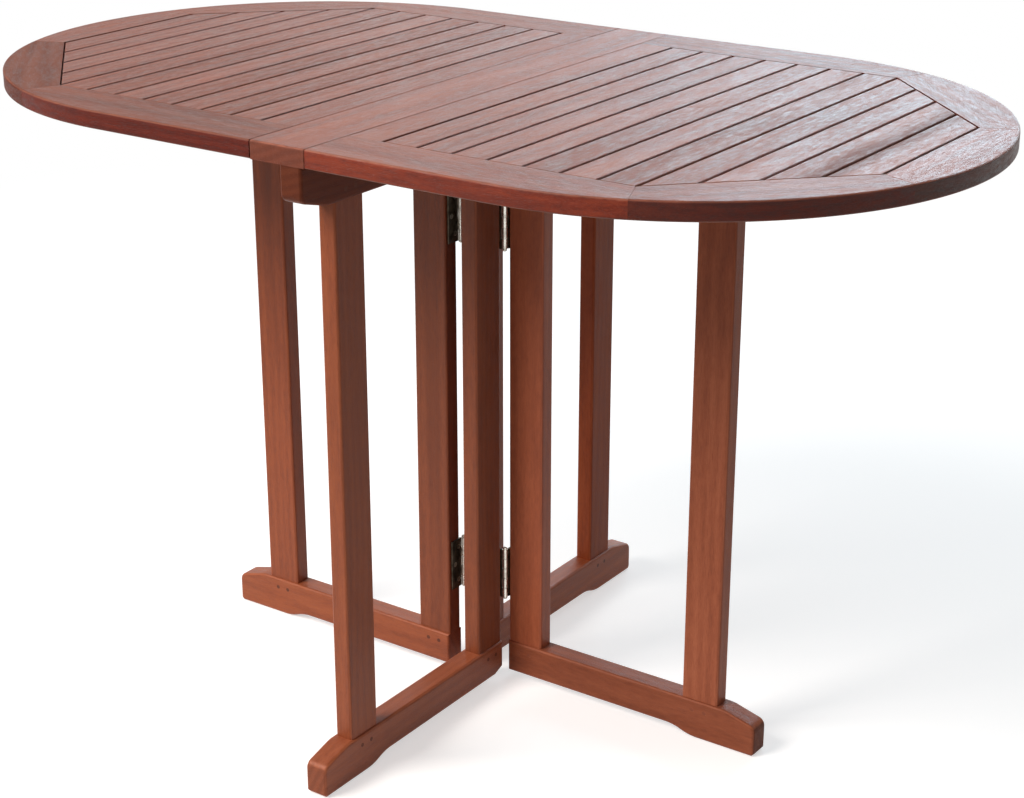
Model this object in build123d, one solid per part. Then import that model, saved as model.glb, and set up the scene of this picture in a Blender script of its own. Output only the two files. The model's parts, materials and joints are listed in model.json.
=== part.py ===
"""Folding gateleg table: an oval slatted top in two leaves on a pinwheel of four flat frames.

Millimetres. The origin is on the floor under the middle of the top.
+X runs along the length to the right leaf, +Y to the far side and +Z up.
"""
import os
from math import cos, radians, sin, tan

from build123d import *

# Overall size of the top
TOP_LENGTH = 1210.0
TOP_WIDTH = 700.0
TOP_HEIGHT = 740.0
TOP_THICK = 20.0

# Centre board and the two leaves
BOARD_WIDTH = 70.6
SEAM = 0.8
SLAT_PITCH = 42.0
SLAT_GAP = 4.0
LONG_SLATS = 7
SHORT_SLATS = 4
FIRST_GROOVE = 80.0
BORDER = 68.5
END_GAP = 0.8
SLOPE_GAP = 1.9
TONGUE_LONG = 8.0
TONGUE_THICK = 6.5
TONGUE_PLAY = 0.2
EDGE_ROUND = 2.5
SLAT_ROUND = 1.0
JOINT_BEVEL = 0.6
MITRE_BEVEL = 0.6
LOOSE_TONGUE = (36.0, 22.0, 6.0)
LOOSE_TONGUE_OUT = 25.0
CORNER_SLOPE = 45.0

# Batten under each leaf, carried by the open gate
BATTEN_WIDE = 62.0
BATTEN_THICK = 8.0
BATTEN_BEVEL = 1.5
BATTEN_START = 56.0
BATTEN_END = 566.0
STOP_SIZE = (60.0, 14.0, 3.5)
STOP_AT = 262.0
BATTEN_SCREW_OFF = 20.0

# Frames: two legs, a foot rail and a top rail each
LEG_WIDE = 47.0
LEG_THICK = 22.0
LEG_SPAN = 292.5
LEG_ROUND = 3.0
RAIL_THICK = 28.0
RAIL_EASE = 3.5
FOOT_HIGH = 48.5
FOOT_END = 343.0
FOOT_RELIEF = 8.0
FOOT_PAD = 76.0
FOOT_SCOOP = 42.0
FOOT_TOE = 3.0
NOSE_LONG = 41.0
NOSE_DROP = 11.0
NOSE_ROUND = 10.0
NOSE_BEND = 40.0
INNER_CHAMFER = (16.0, 6.0)
TOP_RAIL_LOW = 672.0
BEAM_END = 346.5
GATE_RAIL_END = 312.0
GATE_NOSE = 16.0
GATE_PLAY = 0.3
TENON_THICK = 10.0
TENON_LONG = 30.0
TENON_SHOULDER = 5.0
PEG_R = 2.5
PEG_SPREAD = 8.0
PEG_IN = 12.0
FIT_PLAY = 0.05
CUT_PAST = 1.0

# Where the frames stand
FRAME_INNER_END = 3.0
FRAME_AXIS_X = 16.0
GATE_INNER_END = 34.0
GATE_AXIS_Y = 15.0

# Gate hinges: butt hinges with five knuckles
HINGE_X = 31.0
HINGE_Y = 0.0
HINGE_HEIGHTS = (140.0, 582.0)
HINGE_TALL = 64.0
HINGE_WIDE = 22.0
HINGE_PLATE = 2.0
HINGE_HALF_GAP = 1.0
HINGE_SCREWS = [(9.0, -22.0), (16.0, 0.0), (9.0, 22.0)]

# Leaf hinges: smaller butt hinges let into the seams
LEAF_HINGE_X = 35.7
LEAF_HINGE_DROP = 2.8
LEAF_HINGE_PLACES = (-190.0, 190.0)
LEAF_HINGE_TALL = 50.0
LEAF_HINGE_WIDE = 18.5
LEAF_HINGE_PLATE = 1.9
LEAF_HINGE_HALF_GAP = 0.6

# Shared hinge and screw details
KNUCKLES = 5
KNUCKLE_GAP = 0.4
KNUCKLE_CLEAR = 0.5
PIN_PLAY = 0.1
TIP_INSET = 0.3
SCREW_R = 1.6
SCREW_HEAD_R = 3.2
SCREW_HEAD_HIGH = 1.7
CROSS_LONG = 3.4
CROSS_WIDE = 0.8
CROSS_DEEP = 1.1
HINGE_SCREW_LONG = 18.0
BATTEN_SCREW_LONG = 20.0
BEAM_SCREW_LONG = 44.0
BEAM_SCREW_PLACES = (100.0, 180.0, 235.0)
BEAM_SCREW_TIP = 8.0
COUNTERBORE_R = 4.5

# Values worked out from the above
HALF_WIDTH = TOP_WIDTH / 2
ARC_R = HALF_WIDTH
ARC_X = TOP_LENGTH / 2 - ARC_R
UNDERSIDE = TOP_HEIGHT - TOP_THICK
MID_THICK = TOP_HEIGHT - TOP_THICK / 2
LEAF_START = BOARD_WIDTH / 2 + SEAM
FIELD_Y = HALF_WIDTH - BORDER
FIELD_CORNER = FIRST_GROOVE + LONG_SLATS * SLAT_PITCH
FIELD_END = FIRST_GROOVE + (LONG_SLATS + SHORT_SLATS) * SLAT_PITCH + SLAT_GAP / 2
FIELD_END_Y = FIELD_Y - (FIELD_END - FIELD_CORNER) * tan(radians(CORNER_SLOPE))
BATTEN_LOW = UNDERSIDE - BATTEN_THICK
GATE_TOP = BATTEN_LOW - GATE_PLAY
LEAF_HINGE_Z = UNDERSIDE - LEAF_HINGE_DROP
HALF_TURN = Rot(0, 0, 180)
SAME_PLACE = 0.01
STANDING = (Align.CENTER, Align.CENTER, Align.MIN)
HANGING = (Align.CENTER, Align.CENTER, Align.MAX)


def block(x, y, z):
    """A box from three (low, high) pairs."""
    size = [high - low for low, high in (x, y, z)]
    middle = [(high + low) / 2 for low, high in (x, y, z)]
    return Pos(*middle) * Box(*size)


def rod(radius, start, end):
    """A round bar between two points."""
    line = Vector(*end) - Vector(*start)
    return Plane(origin=start, z_dir=line) * Cylinder(radius, line.length, align=STANDING)


def prism(points, low, high):
    """A flat plate with a straight-sided outline, between two heights."""
    return Pos(0, 0, low) * extrude(make_face(Polyline(*points, close=True)), high - low)


def outline_plate(low, high):
    """The right half of the oval top, between two heights."""
    edges = [
        Line((0, -HALF_WIDTH), (ARC_X, -HALF_WIDTH)),
        ThreePointArc((ARC_X, -HALF_WIDTH), (ARC_X + ARC_R, 0), (ARC_X, HALF_WIDTH)),
        Line((ARC_X, HALF_WIDTH), (0, HALF_WIDTH)),
        Line((0, HALF_WIDTH), (0, -HALF_WIDTH)),
    ]
    return Pos(0, 0, low) * extrude(make_face(edges), high - low)


def field_points(grow, slope_grow):
    """Outline of the slat field of the right leaf, grown outward on its straight and sloping sides."""
    slope = radians(CORNER_SLOPE)
    near = -(FIELD_Y + grow)
    end_near = -FIELD_END_Y + (grow * sin(slope) - slope_grow) / cos(slope)
    corner = FIELD_CORNER + (slope_grow - grow * cos(slope)) / sin(slope)
    end = FIELD_END + grow
    return [
        (0, near),
        (corner, near),
        (end, end_near),
        (end, -end_near),
        (corner, -near),
        (0, -near),
    ]


def on_outline(edge):
    """Whether an edge lies on the oval rim of the top."""
    for place in (0.1, 0.5, 0.9):
        point = edge @ place
        if point.X <= ARC_X:
            off = abs(abs(point.Y) - HALF_WIDTH)
        else:
            off = abs(Vector(point.X - ARC_X, point.Y).length - ARC_R)
        if off > SAME_PLACE:
            return False
    return True


def at_height(shape, height):
    """The level edges of a shape at one height."""
    return shape.edges().filter_by(
        lambda edge: all(abs((edge @ place).Z - height) < SAME_PLACE for place in (0, 0.5))
    )


def screw(tip_length):
    """A countersunk wood screw along -Z, its head face at the origin and a cross cut into it."""
    head = Cone(SCREW_R, SCREW_HEAD_R, SCREW_HEAD_HIGH, align=HANGING)
    slot = Pos(0, 0, -CROSS_DEEP) * Box(CROSS_LONG, CROSS_WIDE, CROSS_DEEP + CUT_PAST, align=STANDING)
    head += rod(SCREW_R, (0, 0, -SCREW_HEAD_HIGH / 2), (0, 0, -tip_length))
    return head - slot - Rot(0, 0, 90) * slot


def screw_hole(tip_length):
    """The hole that a screw sits in, a little larger than the screw."""
    shank_r = SCREW_R + FIT_PLAY
    head = Cone(shank_r, SCREW_HEAD_R + FIT_PLAY, SCREW_HEAD_HIGH, align=HANGING)
    return head + rod(shank_r, (0, 0, -SCREW_HEAD_HIGH / 2), (0, 0, -tip_length - FIT_PLAY))


class ButtHinge:
    """A butt hinge with its pin along Z at the origin.

    The fixed plate lies along -X on the -Y side. The turning plate is its mirror image when shut.
    """

    def __init__(self, tall, wide, plate, half_gap, screw_places):
        self.tall = tall
        self.wide = wide
        self.plate = plate
        self.half_gap = half_gap
        self.knuckle_r = half_gap + plate
        self.pin_r = self.knuckle_r / 2
        self.screw_places = screw_places

    def rows(self, first):
        """The (low, high) heights of every other knuckle."""
        pitch = self.tall / KNUCKLES
        low = -self.tall / 2
        return [
            (low + i * pitch + KNUCKLE_GAP / 2, low + (i + 1) * pitch - KNUCKLE_GAP / 2)
            for i in range(first, KNUCKLES, 2)
        ]

    def fixed_leaf(self):
        return self.leaf(self.rows(0), self.rows(1))

    def turning_leaf(self):
        return mirror(self.leaf(self.rows(1), self.rows(0)), about=Plane.XZ)

    def leaf(self, own_rows, other_rows):
        outer = -self.knuckle_r
        inner = -self.half_gap
        half = self.tall / 2
        shape = block((-self.wide, 0), (outer, inner), (-half, half))
        for low, high in own_rows:
            shape += rod(self.knuckle_r, (0, 0, low), (0, 0, high))
        reach = self.knuckle_r + KNUCKLE_CLEAR
        for low, high in other_rows:
            shape -= block(
                (-reach, reach), (-reach, reach), (low - KNUCKLE_GAP, high + KNUCKLE_GAP)
            )
        shape -= rod(self.pin_r + PIN_PLAY, (0, 0, -half), (0, 0, half))
        for place in self.screw_spots():
            shape -= place * screw_hole(self.plate + CUT_PAST)
        return shape

    def screw_spots(self):
        """Where the screws of the fixed leaf sit, heads on its inner face."""
        return [
            Plane(origin=(-x, -self.half_gap, z), x_dir=(1, 0, 0), z_dir=(0, 1, 0)).location
            for x, z in self.screw_places
        ]

    def pin(self):
        """The pin with a button tip at each end."""
        reach = self.tall / 2 + KNUCKLE_GAP
        tip = Sphere(self.knuckle_r - TIP_INSET, arc_size1=0, align=STANDING)
        shape = rod(self.pin_r, (0, 0, -reach), (0, 0, reach))
        shape += Pos(0, 0, reach) * tip
        return shape + Pos(0, 0, -reach) * Rot(180, 0, 0) * tip


GATE_HINGE = ButtHinge(
    HINGE_TALL,
    HINGE_WIDE,
    HINGE_PLATE,
    HINGE_HALF_GAP,
    HINGE_SCREWS,
)
LEAF_HINGE = ButtHinge(
    LEAF_HINGE_TALL,
    LEAF_HINGE_WIDE,
    LEAF_HINGE_PLATE,
    LEAF_HINGE_HALF_GAP,
    [],
)


# Placing: each right or near piece has a left or far twin, half a turn round the middle
def gate_hinge_places():
    return [Pos(HINGE_X, HINGE_Y, height) for height in HINGE_HEIGHTS]


def leaf_hinge_places():
    """The leaf hinges lie along Y with their plates standing up in the seam."""
    return [
        Plane(origin=(LEAF_HINGE_X, y, LEAF_HINGE_Z), x_dir=(0, 0, -1), z_dir=(0, -1, 0)).location
        for y in LEAF_HINGE_PLACES
    ]


NEAR_PLACE = Pos(FRAME_AXIS_X, -FRAME_INNER_END, 0) * Rot(0, 0, -90)
GATE_PLACE = Pos(GATE_INNER_END, GATE_AXIS_Y, 0)
GATE_OPEN = Rot(0, 0, -90)

nodes = {}


def add(name, *shapes):
    """Keep one node: one solid, or a group of separate solids."""
    nodes[name] = shapes


def add_pair(name, twin, *shapes):
    add(name, *shapes)
    add(twin, *[HALF_TURN * shape for shape in shapes])


def ease_corner(face, corner, radius):
    """Round one corner of a flat outline."""
    return fillet(face.vertices().sort_by_distance(corner)[0], radius)


def foot_profile(inner_chamfer):
    """Side view of a foot rail, from its inner end along +X, heights along +Y."""
    pad_start = FOOT_END - FOOT_PAD
    scoop_end = pad_start - FOOT_SCOOP
    halfway = (pad_start - FOOT_SCOOP / 2, FOOT_RELIEF / 2)
    bend = (FOOT_END - NOSE_LONG, FOOT_HIGH)
    tip = (FOOT_END, FOOT_HIGH - NOSE_DROP)
    low = FOOT_RELIEF
    shape = [Line((scoop_end, low), (inner_chamfer[0], low))]
    if inner_chamfer[0] > 0:
        shape.append(Line((inner_chamfer[0], low), (0, low + inner_chamfer[1])))
    shape += [
        Line((0, low + inner_chamfer[1]), (0, FOOT_HIGH)),
        Line((0, FOOT_HIGH), bend),
        Line(bend, tip),
        Line(tip, (FOOT_END, FOOT_TOE)),
        Line((FOOT_END, FOOT_TOE), (FOOT_END - FOOT_TOE, 0)),
        Line((FOOT_END - FOOT_TOE, 0), (pad_start, 0)),
        TangentArc((pad_start, 0), halfway, tangent=(-1, 0)),
        TangentArc((scoop_end, low), halfway, tangent=(1, 0)),
    ]
    face = ease_corner(make_face(shape), bend, NOSE_BEND)
    return ease_corner(face, tip, NOSE_ROUND)


def beam_profile():
    """Side view of a fixed top rail, its outer end tapered from below like a foot turned over."""
    bend = (BEAM_END - NOSE_LONG, TOP_RAIL_LOW)
    tip = (BEAM_END, TOP_RAIL_LOW + NOSE_DROP)
    outline = Polyline((0, TOP_RAIL_LOW), bend, tip, (BEAM_END, UNDERSIDE), (0, UNDERSIDE), close=True)
    face = ease_corner(make_face(outline), bend, NOSE_BEND)
    return ease_corner(face, tip, NOSE_ROUND)


def gate_rail_profile():
    """Side view of a gate's top rail, its lower outer corner rounded."""
    corner = (GATE_RAIL_END, TOP_RAIL_LOW)
    outline = Polyline((0, TOP_RAIL_LOW), corner, (GATE_RAIL_END, GATE_TOP), (0, GATE_TOP), close=True)
    return ease_corner(make_face(outline), corner, GATE_NOSE)


def rail(profile):
    """A rail of even thickness from its side view, its long edges eased."""
    shape = extrude(Plane.XZ * profile, RAIL_THICK / 2, both=True)
    edges = shape.faces().filter_by(Axis.Y).edges()
    return fillet(edges, RAIL_EASE)


def leg(start):
    """A leg with a tenon at each end; start is its inner edge along the frame."""
    wide = (start, start + LEG_WIDE)
    thick = (-LEG_THICK / 2, LEG_THICK / 2)
    shape = block(wide, thick, (FOOT_HIGH, TOP_RAIL_LOW))
    shape = fillet(shape.edges().filter_by(Axis.Z), LEG_ROUND)
    return shape + tenons(start)


def tenons(start):
    wide = (start + TENON_SHOULDER, start + LEG_WIDE - TENON_SHOULDER)
    thick = (-TENON_THICK / 2, TENON_THICK / 2)
    foot = block(wide, thick, (FOOT_HIGH - TENON_LONG, FOOT_HIGH))
    head = block(wide, thick, (TOP_RAIL_LOW, TOP_RAIL_LOW + TENON_LONG))
    return foot + head


def peg_places(start):
    """The pegs through the two tenons of a leg, as (along the frame, height)."""
    middle = start + LEG_WIDE / 2
    return [
        (middle + side * PEG_SPREAD, height)
        for side in (-1, 1)
        for height in (FOOT_HIGH - PEG_IN, TOP_RAIL_LOW + PEG_IN)
    ]


def frame_pieces(head_profile, inner_chamfer, screw_holes):
    """One flat frame along +X from its inner end, standing on the floor, middle plane at Y = 0."""
    starts = {"inner": 0.0, "outer": LEG_SPAN - LEG_WIDE}
    legs = {name: leg(start) for name, start in starts.items()}
    foot = rail(foot_profile(inner_chamfer))
    head = rail(head_profile)
    pegs = []
    half = RAIL_THICK / 2
    for name, start in starts.items():
        foot -= tenons(start)
        head -= tenons(start)
        for along, height in peg_places(start):
            hole = rod(PEG_R + FIT_PLAY, (along, -half, height), (along, half, height))
            pegs.append(rod(PEG_R, (along, -half, height), (along, half, height)))
            legs[name] -= hole
            if height < FOOT_HIGH:
                foot -= hole
            else:
                head -= hole
    for hole in screw_holes:
        legs["inner"] -= hole
    return legs["outer"], legs["inner"], head, foot, pegs


def hinge_screws(turning):
    """The screws of one gate's hinges where they stand with the gate open."""
    spots = []
    for place in gate_hinge_places():
        for spot in GATE_HINGE.screw_spots():
            if turning:
                flipped = Rot(180, 0, 0) * spot
                spots.append(place * GATE_OPEN * flipped)
            else:
                spots.append(place * spot)
    return spots


def add_frames():
    """The two fixed frames and the two gates."""
    fixed_spots = hinge_screws(turning=False)
    holes = [NEAR_PLACE.inverse() * spot * screw_hole(HINGE_SCREW_LONG) for spot in fixed_spots]
    outer, inner, head, foot, pegs = frame_pieces(beam_profile(), INNER_CHAMFER, holes)
    beam_screws = []
    for along in BEAM_SCREW_PLACES:
        seat = TOP_HEIGHT - BEAM_SCREW_TIP - BEAM_SCREW_LONG
        spot = Pos(along, 0, seat) * Rot(180, 0, 0)
        head -= spot * screw_hole(BEAM_SCREW_LONG)
        head -= rod(COUNTERBORE_R, (along, 0, TOP_RAIL_LOW - CUT_PAST), (along, 0, seat))
        beam_screws.append(spot)
    add_pair("near_frame_outer_leg", "far_frame_outer_leg", NEAR_PLACE * outer)
    add_pair("near_frame_inner_leg", "far_frame_inner_leg", NEAR_PLACE * inner)
    add_pair("near_frame_top_rail", "far_frame_top_rail", NEAR_PLACE * head)
    add_pair("near_frame_foot_rail", "far_frame_foot_rail", NEAR_PLACE * foot)
    add_pair("near_frame_pegs", "far_frame_pegs", *[NEAR_PLACE * peg for peg in pegs])

    placed = [NEAR_PLACE * spot for spot in beam_screws]
    placed += [HALF_TURN * spot for spot in placed]
    add("top_rail_screws", *[spot * screw(BEAM_SCREW_LONG) for spot in placed])

    turning_spots = hinge_screws(turning=True)
    holes = [GATE_PLACE.inverse() * spot * screw_hole(HINGE_SCREW_LONG) for spot in turning_spots]
    outer, inner, head, foot, pegs = frame_pieces(gate_rail_profile(), (0, 0), holes)
    add_pair("right_gate_outer_leg", "left_gate_outer_leg", GATE_PLACE * outer)
    add_pair("right_gate_inner_leg", "left_gate_inner_leg", GATE_PLACE * inner)
    add_pair("right_gate_top_rail", "left_gate_top_rail", GATE_PLACE * head)
    add_pair("right_gate_foot_rail", "left_gate_foot_rail", GATE_PLACE * foot)
    add_pair("right_gate_pegs", "left_gate_pegs", *[GATE_PLACE * peg for peg in pegs])

    fixed_screws = [spot * screw(HINGE_SCREW_LONG) for spot in fixed_spots]
    fixed_screws += [HALF_TURN * shape for shape in fixed_screws]
    add("gate_hinge_frame_screws", *fixed_screws)
    turning_screws = [spot * screw(HINGE_SCREW_LONG) for spot in turning_spots]
    add_pair("right_gate_hinge_screws", "left_gate_hinge_screws", *turning_screws)
    return placed


def add_hinges():
    """Butt hinges of the gates and of the leaves."""
    gate = gate_hinge_places()
    fixed = [place * GATE_HINGE.fixed_leaf() for place in gate]
    turning = [place * GATE_OPEN * GATE_HINGE.turning_leaf() for place in gate]
    pins = [place * GATE_HINGE.pin() for place in gate]
    add_pair("right_gate_hinge_frame_leaves", "left_gate_hinge_frame_leaves", *fixed)
    add_pair("right_gate_hinge_leaves", "left_gate_hinge_leaves", *turning)
    add("gate_hinge_pins", *pins, *[HALF_TURN * pin for pin in pins])

    seam = leaf_hinge_places()
    fixed = [place * LEAF_HINGE.fixed_leaf() for place in seam]
    turning = [place * LEAF_HINGE.turning_leaf() for place in seam]
    pins = [place * LEAF_HINGE.pin() for place in seam]
    add_pair("right_leaf_hinge_board_leaves", "left_leaf_hinge_board_leaves", *fixed)
    add_pair("right_leaf_hinge_leaves", "left_leaf_hinge_leaves", *turning)
    add("leaf_hinge_pins", *pins, *[HALF_TURN * pin for pin in pins])


def hinge_recess(y):
    """The shallow pocket across a seam that takes both plates of one leaf hinge."""
    half_x = LEAF_HINGE_HALF_GAP + LEAF_HINGE_PLATE + FIT_PLAY
    half_y = LEAF_HINGE_TALL / 2 + FIT_PLAY
    top = LEAF_HINGE_Z + LEAF_HINGE_WIDE + FIT_PLAY
    return block(
        (LEAF_HINGE_X - half_x, LEAF_HINGE_X + half_x),
        (y - half_y, y + half_y),
        (UNDERSIDE - CUT_PAST, top),
    )


def add_centre_board(beam_screw_spots):
    half = BOARD_WIDTH / 2
    board = block((-half, half), (-HALF_WIDTH, HALF_WIDTH), (UNDERSIDE, TOP_HEIGHT))
    board = fillet(at_height(board, TOP_HEIGHT).filter_by(Axis.X), EDGE_ROUND)
    board = chamfer(at_height(board, TOP_HEIGHT).filter_by(Axis.Y), JOINT_BEVEL)
    for y in LEAF_HINGE_PLACES:
        board -= hinge_recess(y)
        board -= HALF_TURN * hinge_recess(y)
    for spot in beam_screw_spots:
        board -= spot * screw_hole(BEAM_SCREW_LONG)
    add("centre_board", board)


def ring_piece(points):
    """One piece of the leaf's border, cut to a wedge of the oval and grooved for the tongues."""
    plate = outline_plate(UNDERSIDE, TOP_HEIGHT) & prism(points, UNDERSIDE, TOP_HEIGHT)
    rim = at_height(plate, TOP_HEIGHT).filter_by(on_outline)
    rim += at_height(plate, UNDERSIDE).filter_by(on_outline)
    plate = fillet(rim, EDGE_ROUND)
    half = TONGUE_THICK / 2 + TONGUE_PLAY
    deep = TONGUE_LONG + TONGUE_PLAY
    return plate - prism(field_points(deep, deep), MID_THICK - half, MID_THICK + half)


def toward(point, angle, reach):
    """A point a given distance away at an angle in degrees."""
    return (point[0] + reach * cos(radians(angle)), point[1] + reach * sin(radians(angle)))


def loose_tongue(point, angle):
    """A hidden tongue across a mitre that runs out from a corner of the slat field."""
    along, across, thick = LOOSE_TONGUE
    x, y = toward(point, angle, LOOSE_TONGUE_OUT)
    return Pos(x, y, MID_THICK) * Rot(0, 0, angle + 90) * Box(along, across, thick)


def mitre_groove(point, angle):
    """The fine V along the top of a mitre, left by the eased edges of its two pieces."""
    square = Rot(45, 0, 0) * Box(
        HALF_WIDTH, MITRE_BEVEL, MITRE_BEVEL, align=(Align.MIN, Align.CENTER, Align.CENTER)
    )
    return Pos(point[0], point[1], TOP_HEIGHT) * Rot(0, 0, angle) * square


def field_strip(left, right, end_gap, slope_gap):
    """A strip across the slat field, without its tongues."""
    strip = block((left, right), (-HALF_WIDTH, HALF_WIDTH), (UNDERSIDE, TOP_HEIGHT))
    return strip & prism(field_points(-end_gap, -slope_gap), UNDERSIDE, TOP_HEIGHT)


def end_tongues(left, right):
    """The tongues at both ends of a strip, as one bar right through it."""
    half = TONGUE_THICK / 2
    strip = block((left, right), (-HALF_WIDTH, HALF_WIDTH), (MID_THICK - half, MID_THICK + half))
    return strip & prism(field_points(TONGUE_LONG, TONGUE_LONG), MID_THICK - half, MID_THICK + half)


def slat(left, right):
    """A slat, its upper edges eased all round."""
    body = field_strip(left, right, END_GAP, SLOPE_GAP)
    return fillet(at_height(body, TOP_HEIGHT), SLAT_ROUND) + end_tongues(left, right)


def seam_rail(left, right):
    """The leaf's rail along the seam, tight against the border and eased along its two sides."""
    body = field_strip(left, right, FIT_PLAY, FIT_PLAY)
    sides = at_height(body, TOP_HEIGHT).filter_by(Axis.Y)
    return fillet(sides, SLAT_ROUND) + end_tongues(left, right)


def add_leaf():
    """The right leaf and, half a turn round, the left one."""
    far = HALF_WIDTH
    corner = (FIELD_CORNER, -FIELD_Y)
    end = (FIELD_END, -FIELD_END_Y)
    end_angle = -CORNER_SLOPE / 2
    corner_angle = end_angle - CORNER_SLOPE
    corner_out = toward(corner, corner_angle, far)
    end_out = toward(end, end_angle, far)
    near_rail = ring_piece([(LEAF_START, corner[1]), corner, corner_out, (LEAF_START, -2 * far)])
    near_corner = ring_piece([corner, end, end_out, corner_out])
    end_piece = ring_piece([end, (end[0], -end[1]), (end_out[0], -end_out[1]), end_out])
    tongues = [loose_tongue(corner, corner_angle), loose_tongue(end, end_angle)]
    corner_cut = tongues[0] + mitre_groove(corner, corner_angle)
    end_cut = tongues[1] + mitre_groove(end, end_angle)
    near_rail -= corner_cut
    near_corner = near_corner - corner_cut - end_cut
    end_piece = end_piece - end_cut - mirror(end_cut, about=Plane.XZ)
    tongues += [mirror(tongue, about=Plane.XZ) for tongue in tongues]
    far_rail = mirror(near_rail, about=Plane.XZ)
    far_corner = mirror(near_corner, about=Plane.XZ)

    inner_rail = seam_rail(LEAF_START, FIRST_GROOVE - SLAT_GAP / 2)
    for y in LEAF_HINGE_PLACES:
        inner_rail -= hinge_recess(y)
    slats = []
    for index in range(LONG_SLATS + SHORT_SLATS):
        left = FIRST_GROOVE + index * SLAT_PITCH + SLAT_GAP / 2
        slats.append(slat(left, left + SLAT_PITCH - SLAT_GAP))

    gate_face = GATE_AXIS_Y - RAIL_THICK / 2
    batten_y = (GATE_AXIS_Y - BATTEN_WIDE / 2, GATE_AXIS_Y + BATTEN_WIDE / 2)
    batten = block((BATTEN_START, BATTEN_END), batten_y, (BATTEN_LOW, UNDERSIDE))
    batten = chamfer(at_height(batten, BATTEN_LOW), BATTEN_BEVEL)
    stop_long, stop_wide, stop_thick = STOP_SIZE
    stop_y = gate_face - GATE_PLAY
    stop = block(
        (STOP_AT, STOP_AT + stop_long), (stop_y - stop_wide, stop_y), (BATTEN_LOW - stop_thick, BATTEN_LOW)
    )
    spots = []
    for index in range(LONG_SLATS + SHORT_SLATS):
        x = FIRST_GROOVE + (index + 0.5) * SLAT_PITCH
        side = 1 if index % 2 else -1
        spots.append(Pos(x, GATE_AXIS_Y + side * BATTEN_SCREW_OFF, BATTEN_LOW) * Rot(180, 0, 0))
    hole = screw_hole(BATTEN_SCREW_LONG)
    for index, spot in enumerate(spots):
        batten -= spot * hole
        slats[index] -= spot * hole

    add_pair("right_leaf_near_rail", "left_leaf_far_rail", near_rail)
    add_pair("right_leaf_near_corner", "left_leaf_far_corner", near_corner)
    add_pair("right_leaf_end_piece", "left_leaf_end_piece", end_piece)
    add_pair("right_leaf_far_corner", "left_leaf_near_corner", far_corner)
    add_pair("right_leaf_far_rail", "left_leaf_near_rail", far_rail)
    add_pair("right_leaf_inner_rail", "left_leaf_inner_rail", inner_rail)
    add_pair("right_leaf_long_slats", "left_leaf_long_slats", *slats[:LONG_SLATS])
    add_pair("right_leaf_short_slats", "left_leaf_short_slats", *slats[LONG_SLATS:])
    add_pair("right_leaf_mitre_tongues", "left_leaf_mitre_tongues", *tongues)
    add_pair("right_leaf_batten", "left_leaf_batten", batten)
    add_pair("right_leaf_gate_stop", "left_leaf_gate_stop", stop)
    screws = [spot * screw(BATTEN_SCREW_LONG) for spot in spots]
    add_pair("right_leaf_batten_screws", "left_leaf_batten_screws", *screws)


def write_parts():
    os.makedirs("parts", exist_ok=True)
    for name, shapes in nodes.items():
        solids = [solid for shape in shapes for solid in shape.solids()]
        export_step(Compound(children=solids) if len(solids) > 1 else solids[0], f"parts/{name}.step")
    print(len(nodes), "nodes")


beam_screw_spots = add_frames()
add_hinges()
add_centre_board(beam_screw_spots)
add_leaf()
write_parts()
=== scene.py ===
"""Looks of the folding gateleg table: oiled red-brown hardwood, steel hinges, a pale studio."""
import json
import random
from math import cos, radians, sin

import bpy
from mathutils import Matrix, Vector

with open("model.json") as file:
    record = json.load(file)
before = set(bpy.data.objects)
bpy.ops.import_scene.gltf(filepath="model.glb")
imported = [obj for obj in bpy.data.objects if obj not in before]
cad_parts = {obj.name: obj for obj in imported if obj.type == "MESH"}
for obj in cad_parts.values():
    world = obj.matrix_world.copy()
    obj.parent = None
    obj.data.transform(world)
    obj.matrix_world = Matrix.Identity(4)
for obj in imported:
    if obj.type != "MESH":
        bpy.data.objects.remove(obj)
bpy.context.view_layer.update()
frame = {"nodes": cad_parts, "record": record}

# Camera of the photograph, in metres and degrees
CAMERA_AT = Vector((1.3276, -1.8559, 1.2416))
CAMERA_YAW = 34.73
CAMERA_PITCH = -21.14
CAMERA_LENS = 72.67
CAMERA_REACH = 200.0
SENSOR_WIDTH = 36.0

# Slat field of a leaf, in metres along X
FIRST_GROOVE = 0.080
SLAT_PITCH = 0.042

# Wood tones from dark to light, linear
TOP_TONES = [(0.125, 0.030, 0.014), (0.210, 0.052, 0.025), (0.290, 0.088, 0.048)]
FRAME_TONES = [(0.155, 0.034, 0.012), (0.265, 0.063, 0.022), (0.355, 0.094, 0.034)]
PEG_TONES = [(0.085, 0.021, 0.010), (0.140, 0.036, 0.016), (0.190, 0.052, 0.024)]
END_GRAIN_SHADE = 0.82
# Painted shade: the right gate foot rail's end grain, facing away from the key light, is darkened
# further
PIECE_END_PAINTED_SHADE = {"right_gate_foot_rail": 0.52}
WORN_EDGE_LIGHT = 1.35
SHADE_SPREAD = (0.95, 1.05)

# Painted light: a tint that lightens the slats' side walls, lifting the shade inside the grooves
# between them
SLAT_WALL_PAINTED_LIGHT = (1.5, 2.6, 4.0)

# Noises of the figure: cycles per metre along and across the grain, detail, roughness
NOISES = {
    "warp": ((1.6, 9.0), 2.0, 0.5),
    "streak": ((7.0, 120.0), 4.0, 0.62),
    "fleck": ((62.0, 270.0), 5.0, 0.75),
    "fibre": ((40.0, 1300.0), 2.0, 0.5),
    "broad": ((5.0, 16.0), 3.0, 0.6),
    "patch": ((14.0, 48.0), 3.0, 0.6),
    "heart": ((1.3, 26.0), 2.0, 0.5),
    "pores": ((70.0, 1500.0), 1.0, 0.5),
    "speckle": ((900.0, 900.0), 2.0, 0.5),
}

# Growth rings: radians per metre from the heart, and how far the warp bends them
RING_TURN = 620.0
RING_WARP = 26.0

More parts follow.
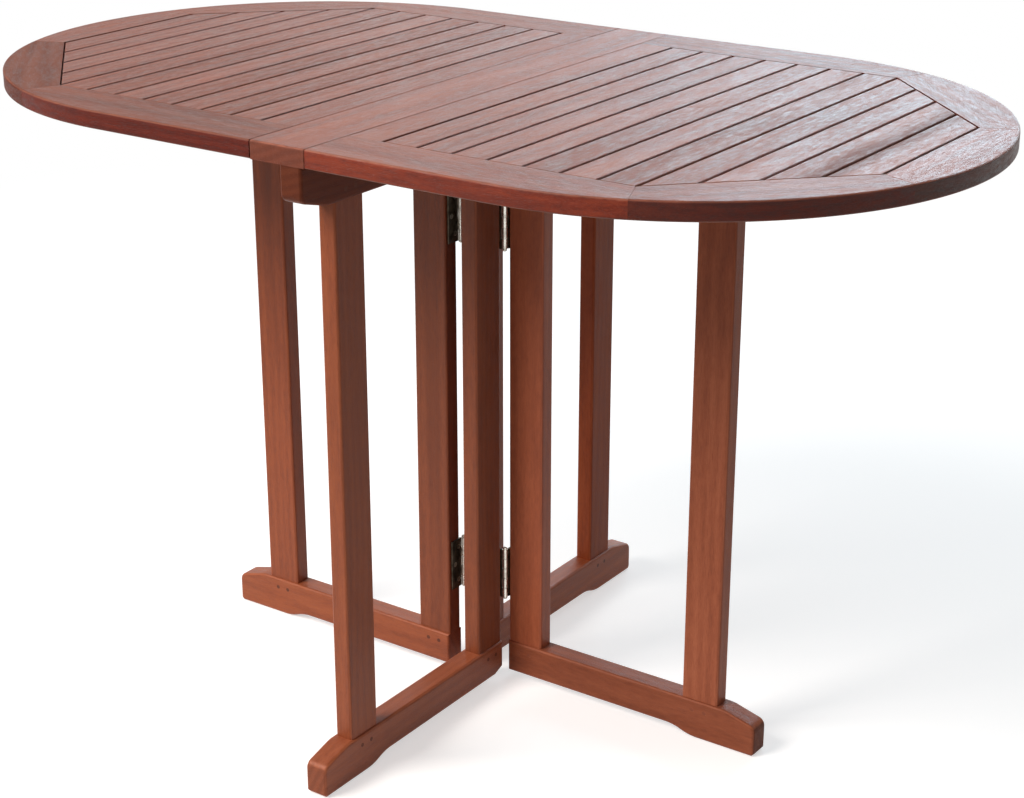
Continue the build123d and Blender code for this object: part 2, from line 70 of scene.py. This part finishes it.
# Shares of the layers in the figure, the end grain, the gloss and the relief
FIGURE_MIX = {"rings": 0.06, "streak": 0.24, "fleck": 0.42, "patch": 0.14, "broad": 0.26, "fibre": 0.10}
END_GRAIN_MIX = {"rings": 0.22, "speckle": 0.62}
GLOSS_MIX = {"fleck": 0.65, "streak": 0.20, "patch": 0.15}
RELIEF_MIX = {"fibre": 0.5, "pores": -0.4, "fleck": 1.2}
RELIEF_STRENGTH = 0.5

# Limits between which a layer fades in, and how strongly it then shows
HEART_LIMITS = (0.60, 0.76)
HEART_DARKNESS = 0.55
PORE_LIMITS = (0.60, 0.68)
PORE_DARKNESS = 0.35
GLOSS_LIMITS = (0.36, 0.64)
END_FACE_LIMITS = (0.72, 0.92)
END_FACE_DULL = 0.15
SIDE_FACE_LIMITS = (0.15, 0.75)
WORN_CORNER_LIMITS = (0.55, 1.0)
WORN_STREAK_LIMITS = (0.35, 0.65)
WORN_STRENGTH = (0.15, 0.5)

# Where a piece is cut from the log, in metres: along the grain and across it, drawn for each piece
LOG_PLACE = ((-3, 3), (0.05, 0.3), (0.02, 0.12))

# Differences from slat to slat: shift of the figure in metres, brightness and saturation
SLAT_SEEDS = (10, 90)
SLAT_SHIFT = (5.0, 0.4, 0.1)
SLAT_BRIGHTNESS = (0.84, 1.16)
SLAT_SATURATION = (1.05, 0.93)

# Finish by material slot: tones, limits of the figure that span them, roughness and depth of the pores
FINISHES = {
    "top_wood": (TOP_TONES, (0.44, 0.78), (0.33, 0.55), 0.0014),
    "slat_wood": (TOP_TONES, (0.45, 0.77), (0.30, 0.58), 0.0018),
    "frame_wood": (FRAME_TONES, (0.28, 0.92), (0.37, 0.50), 0.0005),
    "peg_wood": (PEG_TONES, (0.28, 0.92), (0.37, 0.50), 0.0005),
}

# Boards darker or paler, or of another hue, than the rest. The brightness is partly each board's own
# tone and partly painted shade, as on the near frame's top rail, darkened where it stands in shade
# under the top
PIECE_TONE_AND_PAINTED_SHADE = {
    "left_leaf_near_rail": 0.82,
    "left_leaf_near_corner": 0.70,
    "left_leaf_far_corner": 0.90,
    "left_leaf_short_slats": 0.90,
    "right_leaf_end_piece": 1.15,
    "right_leaf_far_rail": 0.88,
    "centre_board": 1.08,
    "right_gate_outer_leg": 1.24,
    "right_gate_inner_leg": 1.28,
    "left_gate_outer_leg": 0.88,
    "left_gate_inner_leg": 0.78,
    "near_frame_inner_leg": 0.84,
    "near_frame_top_rail": 0.58,
    "near_frame_foot_rail": 1.10,
    "far_frame_outer_leg": 0.90,
    "far_frame_foot_rail": 1.20,
    "near_frame_pegs": 1.20,
    "right_gate_pegs": 2.15,
    "left_gate_pegs": 1.10,
}
PLAIN_HUE = (1.0, 1.0, 1.0)
PIECE_HUE = {
    "right_gate_outer_leg": (1.0, 1.14, 1.50),
    "right_gate_inner_leg": (1.02, 1.05, 1.25),
    "right_gate_foot_rail": (0.93, 1.02, 1.30),
    "near_frame_foot_rail": (0.97, 1.04, 1.20),
    "near_frame_top_rail": (1.0, 0.95, 1.10),
    "far_frame_outer_leg": (1.10, 0.95, 0.85),
    "left_gate_outer_leg": (1.0, 0.95, 0.92),
}

# Dark heartwood band along the grain: place across the slats and half width, in metres
HEART_BAND = {"right_leaf_short_slats": (0.497, 0.028)}
BAND_DARKNESS = 0.8
BAND_DULL = 0.16

# Boards that reflect less than the rest
SHEEN = 0.25
PIECE_SHEEN = {
    "left_leaf_near_corner": 0.06,
    "left_leaf_near_rail": 0.16,
    "far_frame_outer_leg": 0.12,
    "near_frame_top_rail": 0.12,
    "right_gate_outer_leg": 0.14,
    "right_gate_foot_rail": 0.14,
}

# Tint of the top's upright side faces: partly the darker oil-soaked rim and partly painted shade,
# deepest on the right end piece and right near corner, which face away from the key light
RIM_OIL_AND_PAINTED_SHADE = (0.60, 0.42, 0.36)
PIECE_RIM_OIL_AND_PAINTED_SHADE = {
    "right_leaf_near_rail": (0.95, 0.46, 0.28),
    "right_leaf_near_corner": (0.49, 0.26, 0.20),
    "right_leaf_end_piece": (0.30, 0.24, 0.18),
    "left_leaf_near_rail": (0.60, 0.24, 0.18),
    "centre_board": (0.95, 0.90, 0.90),
}

# Steel of the hinges and the screws, linear; the hinge plates are darkened past their tarnish as
# painted shade, as they sit in shade between the legs
PLATE_TARNISH_AND_PAINTED_SHADE = [(0.036, 0.027, 0.018), (0.125, 0.102, 0.074)]
BARREL_TONES = [(0.52, 0.49, 0.43), (0.80, 0.77, 0.70)]
SCREW_TONES = [(0.20, 0.18, 0.15), (0.48, 0.44, 0.38)]
GATE_PIN_X = 0.031
LEAF_PIN = (0.0357, 0.7172)
BARREL_RADIUS = (0.0031, 0.0036)
BARREL_GLOSS = 0.14
HINGE_ROUGHNESS = 0.42
SCREW_ROUGHNESS = 0.40
TARNISH_NOISE = ((90.0, 90.0), 4.0, 0.6)
TARNISH_TONE_LIMITS = (0.3, 0.62)
TARNISH_GLOSS_LIMITS = (0.3, 0.7)
TARNISH_DULL = 0.14
TARNISH_BRIGHT = 0.06
GRIT_NOISE = ((1400.0, 1400.0), 2.0, 0.5)
GRIT_STRENGTH = 0.12
GRIT_DEPTH = 0.0002

# Floor and world, in metres and linear light
FLOOR_SIZE = 24.0
FLOOR_DROP = 0.0005
FLOOR_ROUGHNESS = 0.9
FLOOR_FADE = (0.9, 2.6)
FLOOR_PALE = (0.66, 0.63, 0.61, 1.0)
FLOOR_BOUNCE = (0.95, 0.12)
FLOOR_BOUNCE_FADE = (0.4, 1.7)
FLOOR_LIFT = 0.56
WORLD_FROM = (-0.55, -0.75, 0.35)
WORLD_DIM = 0.01
WORLD_BRIGHT = 0.42

# Soft boxes: place, point that they face, width and height in metres, watts, colour
LAMPS = {
    "key_box": ((-1.7, -2.7, 3.2), (0.0, 0.0, 0.4), (2.0, 2.0), 190.0, (1.0, 0.97, 0.93)),
    "back_box": ((-0.52, 3.4, 1.90), (0.1, 0.0, 0.74), (2.5, 1.5), 79.0, (0.65, 0.86, 1.0)),
    "back_fill": ((-2.75, 3.4, 1.95), (0.1, 0.0, 0.74), (0.9, 1.5), 6.0, (1.0, 0.96, 0.95)),
}

# Which way the grain runs: degrees about Z from +X, or up a leg
GRAIN_X = 0.0
GRAIN_Y = 90.0
GRAIN_UP = None
GRAIN_SLOPE = 45.0


class Tree:
    """A material's node tree, built with short calls."""

    def __init__(self, name):
        self.material = bpy.data.materials.new(name)
        self.material.use_nodes = True
        self.tree = self.material.node_tree
        self.shader = self.tree.nodes["Principled BSDF"]

    def node(self, kind, **settings):
        made = self.tree.nodes.new(kind)
        for key, value in settings.items():
            setattr(made, key, value)
        return made

    def put(self, socket, value):
        if isinstance(value, bpy.types.NodeSocket):
            self.tree.links.new(value, socket)
        else:
            socket.default_value = value

    def math(self, operation, *values):
        made = self.node("ShaderNodeMath", operation=operation)
        for socket, value in zip(made.inputs, values):
            self.put(socket, value)
        return made.outputs[0]

    def vector(self, operation, *values):
        made = self.node("ShaderNodeVectorMath", operation=operation)
        for socket, value in zip(made.inputs, values):
            self.put(socket, value)
        return made.outputs["Value" if operation == "LENGTH" else "Vector"]

    def noise(self, place, kind):
        """Noise drawn out along the grain, of a kind with cycles per metre, detail and roughness."""
        (along, across), detail, roughness = kind
        made = self.node("ShaderNodeTexNoise")
        self.put(made.inputs["Vector"], self.vector("MULTIPLY", place, (along, across, across)))
        self.put(made.inputs["Scale"], 1.0)
        self.put(made.inputs["Detail"], detail)
        self.put(made.inputs["Roughness"], roughness)
        return made.outputs["Fac"]

    def spread(self, value, low, high, to_low=0.0, to_high=1.0):
        made = self.node("ShaderNodeMapRange", interpolation_type="SMOOTHSTEP")
        for socket, number in zip(made.inputs, (value, low, high, to_low, to_high)):
            self.put(socket, number)
        return made.outputs[0]

    def scale(self, value, factor):
        return self.math("MULTIPLY", value, factor)

    def blend(self, layers, shares):
        """The sum of the named layers, each times its share."""
        total = None
        for name, share in shares.items():
            part = self.scale(layers[name], share)
            total = part if total is None else self.math("ADD", total, part)
        return total

    def mix(self, factor, first, second, mode="MIX"):
        made = self.node("ShaderNodeMix", data_type="RGBA", blend_type=mode)
        self.put(made.inputs["Factor"], factor)
        for key, value in (("A", first), ("B", second)):
            socket = [s for s in made.inputs if s.name == key and s.type == "RGBA"][0]
            self.put(socket, value)
        return [s for s in made.outputs if s.type == "RGBA"][0]

    def ramp(self, value, colours):
        made = self.node("ShaderNodeValToRGB")
        self.put(made.inputs["Fac"], value)
        elements = made.color_ramp.elements
        while len(elements) < len(colours):
            elements.new(0.5)
        for index, colour in enumerate(colours):
            elements[index].position = index / (len(colours) - 1)
            elements[index].color = (*colour, 1.0)
        return made.outputs["Color"]

    def bump(self, height, strength, distance):
        made = self.node("ShaderNodeBump")
        self.put(made.inputs["Height"], height)
        self.put(made.inputs["Strength"], strength)
        self.put(made.inputs["Distance"], distance)
        self.put(self.shader.inputs["Normal"], made.outputs["Normal"])


def grain_turn(grain):
    """The turn that lays a piece's grain along X."""
    if grain is GRAIN_UP:
        return (0.0, radians(90), 0.0)
    return (0.0, 0.0, radians(-grain))


def slat_numbers(tree, distance, seed):
    """A random colour and value for each slat, from its place in the leaf."""
    step = tree.math("DIVIDE", tree.math("SUBTRACT", distance, FIRST_GROOVE), SLAT_PITCH)
    index = tree.math("FLOOR", step)
    white = tree.node("ShaderNodeTexWhiteNoise", noise_dimensions="1D")
    tree.put(white.inputs["W"], tree.math("ADD", index, seed))
    return white.outputs["Color"], white.outputs["Value"]


def figure_layers(tree, place):
    """The rings, noises, heart streaks and pores that make up the figure of the wood."""
    layers = {name: tree.noise(place, kind) for name, kind in NOISES.items()}
    radius = tree.vector("LENGTH", tree.vector("MULTIPLY", place, (0.0, 1.0, 1.0)))
    phase = tree.math("ADD", tree.scale(radius, RING_TURN), tree.scale(layers["warp"], RING_WARP))
    layers["rings"] = tree.spread(tree.math("SINE", phase), -1.0, 1.0)
    layers["heart"] = tree.spread(layers["heart"], *HEART_LIMITS)
    layers["pores"] = tree.spread(layers["pores"], *PORE_LIMITS)
    return layers


def wood(name, grain, finish, shade, hue, sheen, end_shade, slats=False, upright_tint_and_painted_light=None, band=None):
    """Oiled hardwood with growth rings, flecks and pores along the grain, and end grain across it."""
    draw = random.Random(name)
    tree = Tree(name)
    coords = tree.node("ShaderNodeTexCoord")
    place = coords.outputs["Object"]
    tones, contrast, gloss_range, pore_depth = finish
    # The piece's brightness: its own tone, and for some pieces painted shade
    brightness = shade * draw.uniform(*SHADE_SPREAD)
    tones = [[channel * tint * brightness for channel, tint in zip(tone, hue)] for tone in tones]
    dark_tone = (*tones[0], 1.0)

    turn = tree.node("ShaderNodeMapping", vector_type="POINT")
    tree.put(turn.inputs["Vector"], place)
    turn.inputs["Rotation"].default_value = grain_turn(grain)
    turn.inputs["Location"].default_value = [draw.uniform(*limits) for limits in LOG_PLACE]
    wood_place = turn.outputs["Vector"]

    if slats:
        parts = tree.node("ShaderNodeSeparateXYZ")
        tree.put(parts.inputs["Vector"], place)
        distance = tree.math("ABSOLUTE", parts.outputs["X"])
        slat_colour, slat_value = slat_numbers(tree, distance, draw.uniform(*SLAT_SEEDS))
        wood_place = tree.vector("ADD", wood_place, tree.vector("MULTIPLY", slat_colour, SLAT_SHIFT))

    layers = figure_layers(tree, wood_place)
    figure = tree.spread(tree.blend(layers, FIGURE_MIX), *contrast)
    colour = tree.ramp(figure, tones)
    colour = tree.mix(tree.scale(layers["heart"], HEART_DARKNESS), colour, dark_tone)
    colour = tree.mix(tree.scale(layers["pores"], PORE_DARKNESS), colour, dark_tone)
    if slats:
        vary = tree.node("ShaderNodeHueSaturation")
        tree.put(vary.inputs["Color"], colour)
        tree.put(vary.inputs["Value"], tree.spread(slat_value, 0.0, 1.0, *SLAT_BRIGHTNESS))
        tree.put(vary.inputs["Saturation"], tree.spread(slat_value, 0.0, 1.0, *SLAT_SATURATION))
        colour = vary.outputs["Color"]
    if band:
        middle, half_width = band
        off = tree.math("ABSOLUTE", tree.math("SUBTRACT", distance, middle))
        waver = tree.scale(tree.math("SUBTRACT", layers["broad"], 0.5), half_width)
        dark = tree.spread(tree.math("ADD", off, waver), 0.0, half_width, BAND_DARKNESS, 0.0)
        colour = tree.mix(dark, colour, dark_tone)

    # End grain on faces across the grain, and the tint of upright faces: on the top partly painted
    # shade, on the slats' side walls painted light
    normal = tree.node("ShaderNodeMapping", vector_type="NORMAL")
    tree.put(normal.inputs["Vector"], coords.outputs["Normal"])
    normal.inputs["Rotation"].default_value = grain_turn(grain)
    facing = tree.node("ShaderNodeSeparateXYZ")
    tree.put(facing.inputs["Vector"], normal.outputs["Vector"])
    end_face = tree.spread(tree.math("ABSOLUTE", facing.outputs["X"]), *END_FACE_LIMITS)
    # End grain darker than the long grain; on some pieces darker still as painted shade
    end_tones = [[channel * end_shade for channel in tone] for tone in tones]
    colour = tree.mix(end_face, colour, tree.ramp(tree.blend(layers, END_GRAIN_MIX), end_tones))
    # Painted shade on the top's upright faces and painted light on the slats' side walls, multiplied
    # into the colour
    if upright_tint_and_painted_light:
        upright = tree.spread(tree.math("ABSOLUTE", facing.outputs["Z"]), *SIDE_FACE_LIMITS, 1.0, 0.0)
        colour = tree.mix(upright, colour, (*upright_tint_and_painted_light, 1.0), mode="MULTIPLY")

    # Worn edges, where a face leans halfway between level and upright
    square = tree.math("POWER", facing.outputs["Z"], 2.0)
    corner = tree.math("MULTIPLY", tree.scale(square, 4.0), tree.math("SUBTRACT", 1.0, square))
    rubbed = tree.spread(layers["streak"], *WORN_STREAK_LIMITS, *WORN_STRENGTH)
    worn = tree.math("MULTIPLY", tree.spread(corner, *WORN_CORNER_LIMITS), rubbed)
    worn_tone = [channel * WORN_EDGE_LIGHT for channel in tones[2]]
    colour = tree.mix(worn, colour, (*worn_tone, 1.0))

    gloss = tree.spread(tree.blend(layers, GLOSS_MIX), *GLOSS_LIMITS, *gloss_range)
    if band:
        gloss = tree.math("ADD", gloss, tree.scale(dark, BAND_DULL))
    gloss = tree.math("ADD", gloss, tree.scale(end_face, END_FACE_DULL))
    tree.put(tree.shader.inputs["Base Color"], colour)
    tree.put(tree.shader.inputs["Specular IOR Level"], sheen)
    tree.put(tree.shader.inputs["Roughness"], gloss)
    tree.bump(tree.blend(layers, RELIEF_MIX), RELIEF_STRENGTH, pore_depth)
    return tree.material


def barrel_mask(tree, place):
    """One on the knuckles and pin tips of the hinges, rubbed bright, and nothing on their plates."""
    parts = tree.node("ShaderNodeSeparateXYZ")
    tree.put(parts.inputs["Vector"], place)
    side = tree.math("ABSOLUTE", parts.outputs["X"])

    def away(x, height):
        across = tree.math("POWER", tree.math("SUBTRACT", side, x), 2.0)
        return tree.math("SQRT", tree.math("ADD", across, tree.math("POWER", height, 2.0)))

    gate = away(GATE_PIN_X, parts.outputs["Y"])
    leaf = away(LEAF_PIN[0], tree.math("SUBTRACT", parts.outputs["Z"], LEAF_PIN[1]))
    return tree.spread(tree.math("MINIMUM", gate, leaf), *BARREL_RADIUS, 1.0, 0.0)


def steel(name, tones, roughness, barrel_tones=None):
    """Plated steel with a dull, slightly tarnished bloom."""
    tree = Tree(name)
    coords = tree.node("ShaderNodeTexCoord")
    place = coords.outputs["Object"]
    bloom = tree.noise(place, TARNISH_NOISE)
    grit = tree.noise(place, GRIT_NOISE)
    patches = tree.spread(bloom, *TARNISH_TONE_LIMITS)
    # For the hinges these tones hold painted shade on the plates as well as tarnish
    colour = tree.ramp(patches, tones)
    gloss_range = (roughness + TARNISH_DULL, roughness - TARNISH_BRIGHT)
    gloss = tree.spread(bloom, *TARNISH_GLOSS_LIMITS, *gloss_range)
    if barrel_tones:
        bright = barrel_mask(tree, place)
        colour = tree.mix(bright, colour, tree.ramp(patches, barrel_tones))
        gloss = tree.math("SUBTRACT", gloss, tree.scale(bright, BARREL_GLOSS))
    tree.put(tree.shader.inputs["Base Color"], colour)
    tree.put(tree.shader.inputs["Metallic"], 1.0)
    tree.put(tree.shader.inputs["Roughness"], gloss)
    tree.bump(grit, GRIT_STRENGTH, GRIT_DEPTH)
    return tree.material


def grain_of(node):
    """The direction in which a wooden node's fibres run."""
    if node.endswith("leg"):
        return GRAIN_UP
    if "corner" in node:
        return GRAIN_SLOPE if ("right" in node) == ("near" in node) else -GRAIN_SLOPE
    if node.endswith("pegs"):
        return GRAIN_Y if "gate" in node else GRAIN_X
    along_y = ("slats", "inner_rail", "end_piece", "centre_board")
    if node.startswith(("near_frame", "far_frame")) or node.endswith(along_y):
        return GRAIN_Y
    return GRAIN_X


def dress_nodes():
    """Give each CAD node its own finish."""
    hinge_steel = steel("hinge_steel", PLATE_TARNISH_AND_PAINTED_SHADE, HINGE_ROUGHNESS, BARREL_TONES)
    screw_steel = steel("screw_steel", SCREW_TONES, SCREW_ROUGHNESS)
    slots = {row["node"]: row["material_slot"] for row in frame["record"]["subparts"]}
    for node, thing in frame["nodes"].items():
        slot = slots[node]
        if slot == "hinge_steel":
            finish = hinge_steel
        elif slot == "screw_steel":
            finish = screw_steel
        else:
            # The top's rim tint holds painted shade, and the slats' wall tint holds painted light
            top_rim_and_painted_shade = PIECE_RIM_OIL_AND_PAINTED_SHADE.get(node, RIM_OIL_AND_PAINTED_SHADE)
            upright_tints_and_painted_light = {"top_wood": top_rim_and_painted_shade, "slat_wood": SLAT_WALL_PAINTED_LIGHT}
            finish = wood(
                f"wood_{node}",
                grain_of(node),
                FINISHES[slot],
                PIECE_TONE_AND_PAINTED_SHADE.get(node, 1.0),
                PIECE_HUE.get(node, PLAIN_HUE),
                PIECE_SHEEN.get(node, SHEEN),
                PIECE_END_PAINTED_SHADE.get(node, END_GRAIN_SHADE),
                slats=slot == "slat_wood",
                upright_tint_and_painted_light=upright_tints_and_painted_light.get(slot),
                band=HEART_BAND.get(node),
            )
        thing.data.materials.clear()
        thing.data.materials.append(finish)


def add_floor():
    """A wide pale floor that takes the shadow and runs out into the pale world."""
    tree = Tree("floor_paint")
    coords = tree.node("ShaderNodeTexCoord")
    away = tree.vector("LENGTH", coords.outputs["Object"])
    far = tree.spread(away, *FLOOR_FADE)
    bounce = tree.spread(away, *FLOOR_BOUNCE_FADE, *FLOOR_BOUNCE)
    path = tree.node("ShaderNodeLightPath")
    seen = tree.math("MAXIMUM", path.outputs["Is Camera Ray"], path.outputs["Is Glossy Ray"])
    seen = tree.math("MAXIMUM", seen, path.outputs["Is Transmission Ray"])
    pale = tree.mix(far, FLOOR_PALE, (0.0, 0.0, 0.0, 1.0))
    tree.put(tree.shader.inputs["Base Color"], tree.mix(seen, bounce, pale))
    tree.put(tree.shader.inputs["Roughness"], FLOOR_ROUGHNESS)
    tree.put(tree.shader.inputs["Specular IOR Level"], 0.0)
    tree.put(tree.shader.inputs["Emission Color"], (1.0, 1.0, 1.0, 1.0))
    lift = tree.spread(far, 0.0, 1.0, FLOOR_LIFT, 1.0)
    tree.put(tree.shader.inputs["Emission Strength"], tree.math("MULTIPLY", seen, lift))
    bpy.ops.mesh.primitive_plane_add(size=FLOOR_SIZE, location=(0, 0, -FLOOR_DROP))
    floor = bpy.context.object
    floor.name = "floor"
    floor.data.materials.append(tree.material)


def add_world():
    """Pale light, stronger from the front left; the camera and reflections see it white."""
    world = bpy.data.worlds.new("studio")
    bpy.context.scene.world = world
    world.use_nodes = True
    tree = world.node_tree
    background = tree.nodes["Background"]
    background.inputs["Color"].default_value = (1.0, 1.0, 1.0, 1.0)
    coords = tree.nodes.new("ShaderNodeTexCoord")
    toward = tree.nodes.new("ShaderNodeVectorMath")
    toward.operation = "DOT_PRODUCT"
    tree.links.new(coords.outputs["Generated"], toward.inputs[0])
    toward.inputs[1].default_value = Vector(WORLD_FROM).normalized()
    sky = tree.nodes.new("ShaderNodeMapRange")
    tree.links.new(toward.outputs["Value"], sky.inputs["Value"])
    limits = {"From Min": -1.0, "From Max": 1.0, "To Min": WORLD_DIM, "To Max": WORLD_BRIGHT}
    for name, value in limits.items():
        sky.inputs[name].default_value = value
    path = tree.nodes.new("ShaderNodeLightPath")
    seen = path.outputs["Is Camera Ray"]
    for other in ("Is Glossy Ray", "Is Transmission Ray"):
        either = tree.nodes.new("ShaderNodeMath")
        either.operation = "MAXIMUM"
        tree.links.new(seen, either.inputs[0])
        tree.links.new(path.outputs[other], either.inputs[1])
        seen = either.outputs[0]
    strength = tree.nodes.new("ShaderNodeMapRange")
    tree.links.new(seen, strength.inputs["Value"])
    tree.links.new(sky.outputs[0], strength.inputs["To Min"])
    strength.inputs["To Max"].default_value = 1.0
    tree.links.new(strength.outputs[0], background.inputs["Strength"])


def add_lamp(name, place, target, size, power, colour):
    """A soft box that faces a point."""
    data = bpy.data.lights.new(name, "AREA")
    data.shape = "RECTANGLE"
    data.size, data.size_y = size
    data.energy = power
    data.color = colour
    lamp = bpy.data.objects.new(name, data)
    bpy.context.scene.collection.objects.link(lamp)
    lamp.location = place
    lamp.rotation_mode = "QUATERNION"
    lamp.rotation_quaternion = (Vector(target) - Vector(place)).to_track_quat("-Z", "Y")
    lamp.visible_camera = False


def add_camera():
    """The camera at the photograph's place and angle."""
    yaw = radians(CAMERA_YAW)
    pitch = radians(CAMERA_PITCH)
    forward = Vector((-sin(yaw) * cos(pitch), cos(yaw) * cos(pitch), sin(pitch)))
    data = bpy.data.cameras.new("photo_camera")
    data.lens = CAMERA_LENS
    data.sensor_width = SENSOR_WIDTH
    data.clip_end = CAMERA_REACH
    camera = bpy.data.objects.new("photo_camera", data)
    bpy.context.scene.collection.objects.link(camera)
    camera.location = CAMERA_AT
    camera.rotation_mode = "QUATERNION"
    camera.rotation_quaternion = forward.to_track_quat("-Z", "Y")
    bpy.context.scene.camera = camera


bpy.context.scene.view_settings.view_transform = "Standard"
dress_nodes()
add_floor()
add_world()
for lamp_name, lamp_settings in LAMPS.items():
    add_lamp(lamp_name, *lamp_settings)
add_camera()
